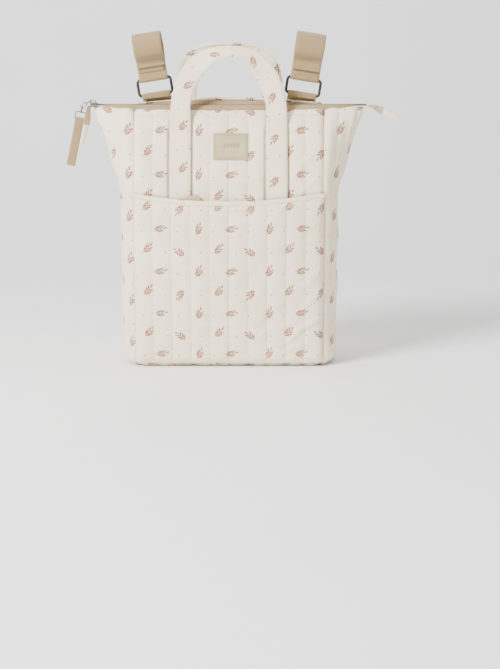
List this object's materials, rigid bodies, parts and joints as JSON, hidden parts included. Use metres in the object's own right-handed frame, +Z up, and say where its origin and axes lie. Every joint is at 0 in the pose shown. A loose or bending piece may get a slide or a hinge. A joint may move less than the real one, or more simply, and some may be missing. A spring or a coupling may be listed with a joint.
{
  "type": "diaper bag",
  "caption": "Soft quilted diaper bag with a wide zip top, front slip pocket, grab handles front and back and webbing straps on rings that close round a pram handlebar.",
  "frame": {"origin": "Centre of the flat base on the floor; the bag stands upright.", "axes": "+X to the right as seen from the front, -Y out of the front pocket, +Z up."},
  "size_m": [0.5095, 0.1413, 0.5088],
  "materials": {
    "printed_cotton": "warm off-white quilted cotton with a small dusty rose sprig print",
    "beige_tape": "beige cotton twill tape",
    "lining_cotton": "plain beige lining cotton",
    "base_board": "stiff sheet plastic, sewn in out of sight",
    "label_weave": "khaki beige woven label with a stitched border",
    "zip_coil": "nylon coil",
    "nickel_plate": "polished nickel plate",
    "black_plastic": "satin black moulded plastic",
    "hook_and_loop": "hook-and-loop tape",
    "beige_webbing": "khaki beige woven webbing"
  },
  "bodies": {
    "bag": {"front_panel": "printed_cotton", "back_panel": "printed_cotton", "left_gusset": "printed_cotton", "right_gusset": "printed_cotton", "base_panel": "printed_cotton", "base_board": "base_board", "lining": "lining_cotton", "front_pocket": "printed_cotton", "pocket_hem": "printed_cotton", "pocket_lining": "beige_tape", "label": "label_weave", "top_facing_front": "beige_tape", "top_facing_back": "beige_tape", "zip_tape_front": "beige_tape", "zip_tape_back": "beige_tape", "zip_coil_front": "zip_coil", "zip_coil_back": "zip_coil", "tail_tape_left": "beige_tape", "tail_tip_left": "printed_cotton", "tail_tape_right": "beige_tape", "tail_tip_right": "printed_cotton", "front_handle_left_root": "printed_cotton", "front_handle_right_root": "printed_cotton", "back_handle_left_root": "printed_cotton", "back_handle_right_root": "printed_cotton", "strap_anchor_left": "beige_webbing", "strap_anchor_right": "beige_webbing"},
    "slider": {"zip_slider": "nickel_plate", "slider_bow": "nickel_plate"},
    "pull_chain": {"pull_link_upper": "nickel_plate", "pull_link_middle": "nickel_plate", "pull_link_lower": "nickel_plate"},
    "pull": {"pull_loop": "nickel_plate", "pull_tab": "beige_webbing"},
    "front_handle": {"front_handle_loop": "printed_cotton"},
    "back_handle": {"back_handle_loop": "printed_cotton"},
    "left_ring": {"strap_ring_left": "black_plastic"},
    "right_ring": {"strap_ring_right": "black_plastic"},
    "left_strap": {"stroller_strap_left": "beige_webbing", "loop_pad_left": "hook_and_loop"},
    "right_strap": {"stroller_strap_right": "beige_webbing", "loop_pad_right": "hook_and_loop"},
    "left_flap": {"strap_flap_left": "beige_webbing", "hook_pad_left": "hook_and_loop"},
    "right_flap": {"strap_flap_right": "beige_webbing", "hook_pad_right": "hook_and_loop"}
  },
  "joints": [
    {"name": "zip_slide", "type": "slide", "parent": "bag", "child": "slider", "axis": [1, 0, 0], "range_m": [0, 0.405], "deforming": ["pull_link_upper", "pull_link_middle", "pull_link_lower", "pull_loop", "pull_tab"]},
    {"name": "pull_chain_swing", "type": "hinge", "parent": "slider", "child": "pull_chain", "pos_m": [-0.2103, 0, 0.4025], "axis": [0, 1, 0], "range_deg": [0, 190]},
    {"name": "pull_tab_swing", "type": "hinge", "parent": "pull_chain", "child": "pull", "pos_m": [-0.22728, 0, 0.38469], "axis": [0, 1, 0], "range_deg": [0, 35]},
    {"name": "front_handle_swing", "type": "hinge", "parent": "bag", "child": "front_handle", "pos_m": [0, -0.0412, 0.3569], "axis": [1, 0, 0], "range_deg": [-3, 150]},
    {"name": "back_handle_swing", "type": "hinge", "parent": "bag", "child": "back_handle", "pos_m": [0, 0.0412, 0.3719], "axis": [1, 0, 0], "range_deg": [-150, 0]},
    {"name": "left_ring_swing", "type": "hinge", "parent": "bag", "child": "left_ring", "pos_m": [-0.11199, 0.0124, 0.41289], "axis": [0.988, 0, 0.1544], "range_deg": [-60, 45]},
    {"name": "right_ring_swing", "type": "hinge", "parent": "bag", "child": "right_ring", "pos_m": [0.11199, 0.0124, 0.41289], "axis": [0.988, 0, -0.1544], "range_deg": [-60, 45]},
    {"name": "left_strap_swing", "type": "hinge", "parent": "left_ring", "child": "left_strap", "pos_m": [-0.11569, 0.0124, 0.4366], "axis": [0.988, 0, 0.1544], "range_deg": [-75, 75]},
    {"name": "right_strap_swing", "type": "hinge", "parent": "right_ring", "child": "right_strap", "pos_m": [0.11569, 0.0124, 0.4366], "axis": [0.988, 0, -0.1544], "range_deg": [-75, 75]},
    {"name": "left_flap_open", "type": "hinge", "parent": "left_strap", "child": "left_flap", "pos_m": [-0.12644, 0.0124, 0.50537], "axis": [0.988, 0, 0.1544], "range_deg": [-150, 0]},
    {"name": "right_flap_open", "type": "hinge", "parent": "right_strap", "child": "right_flap", "pos_m": [0.12644, 0.0124, 0.50537], "axis": [0.988, 0, -0.1544], "range_deg": [-150, 0]}
  ]
}
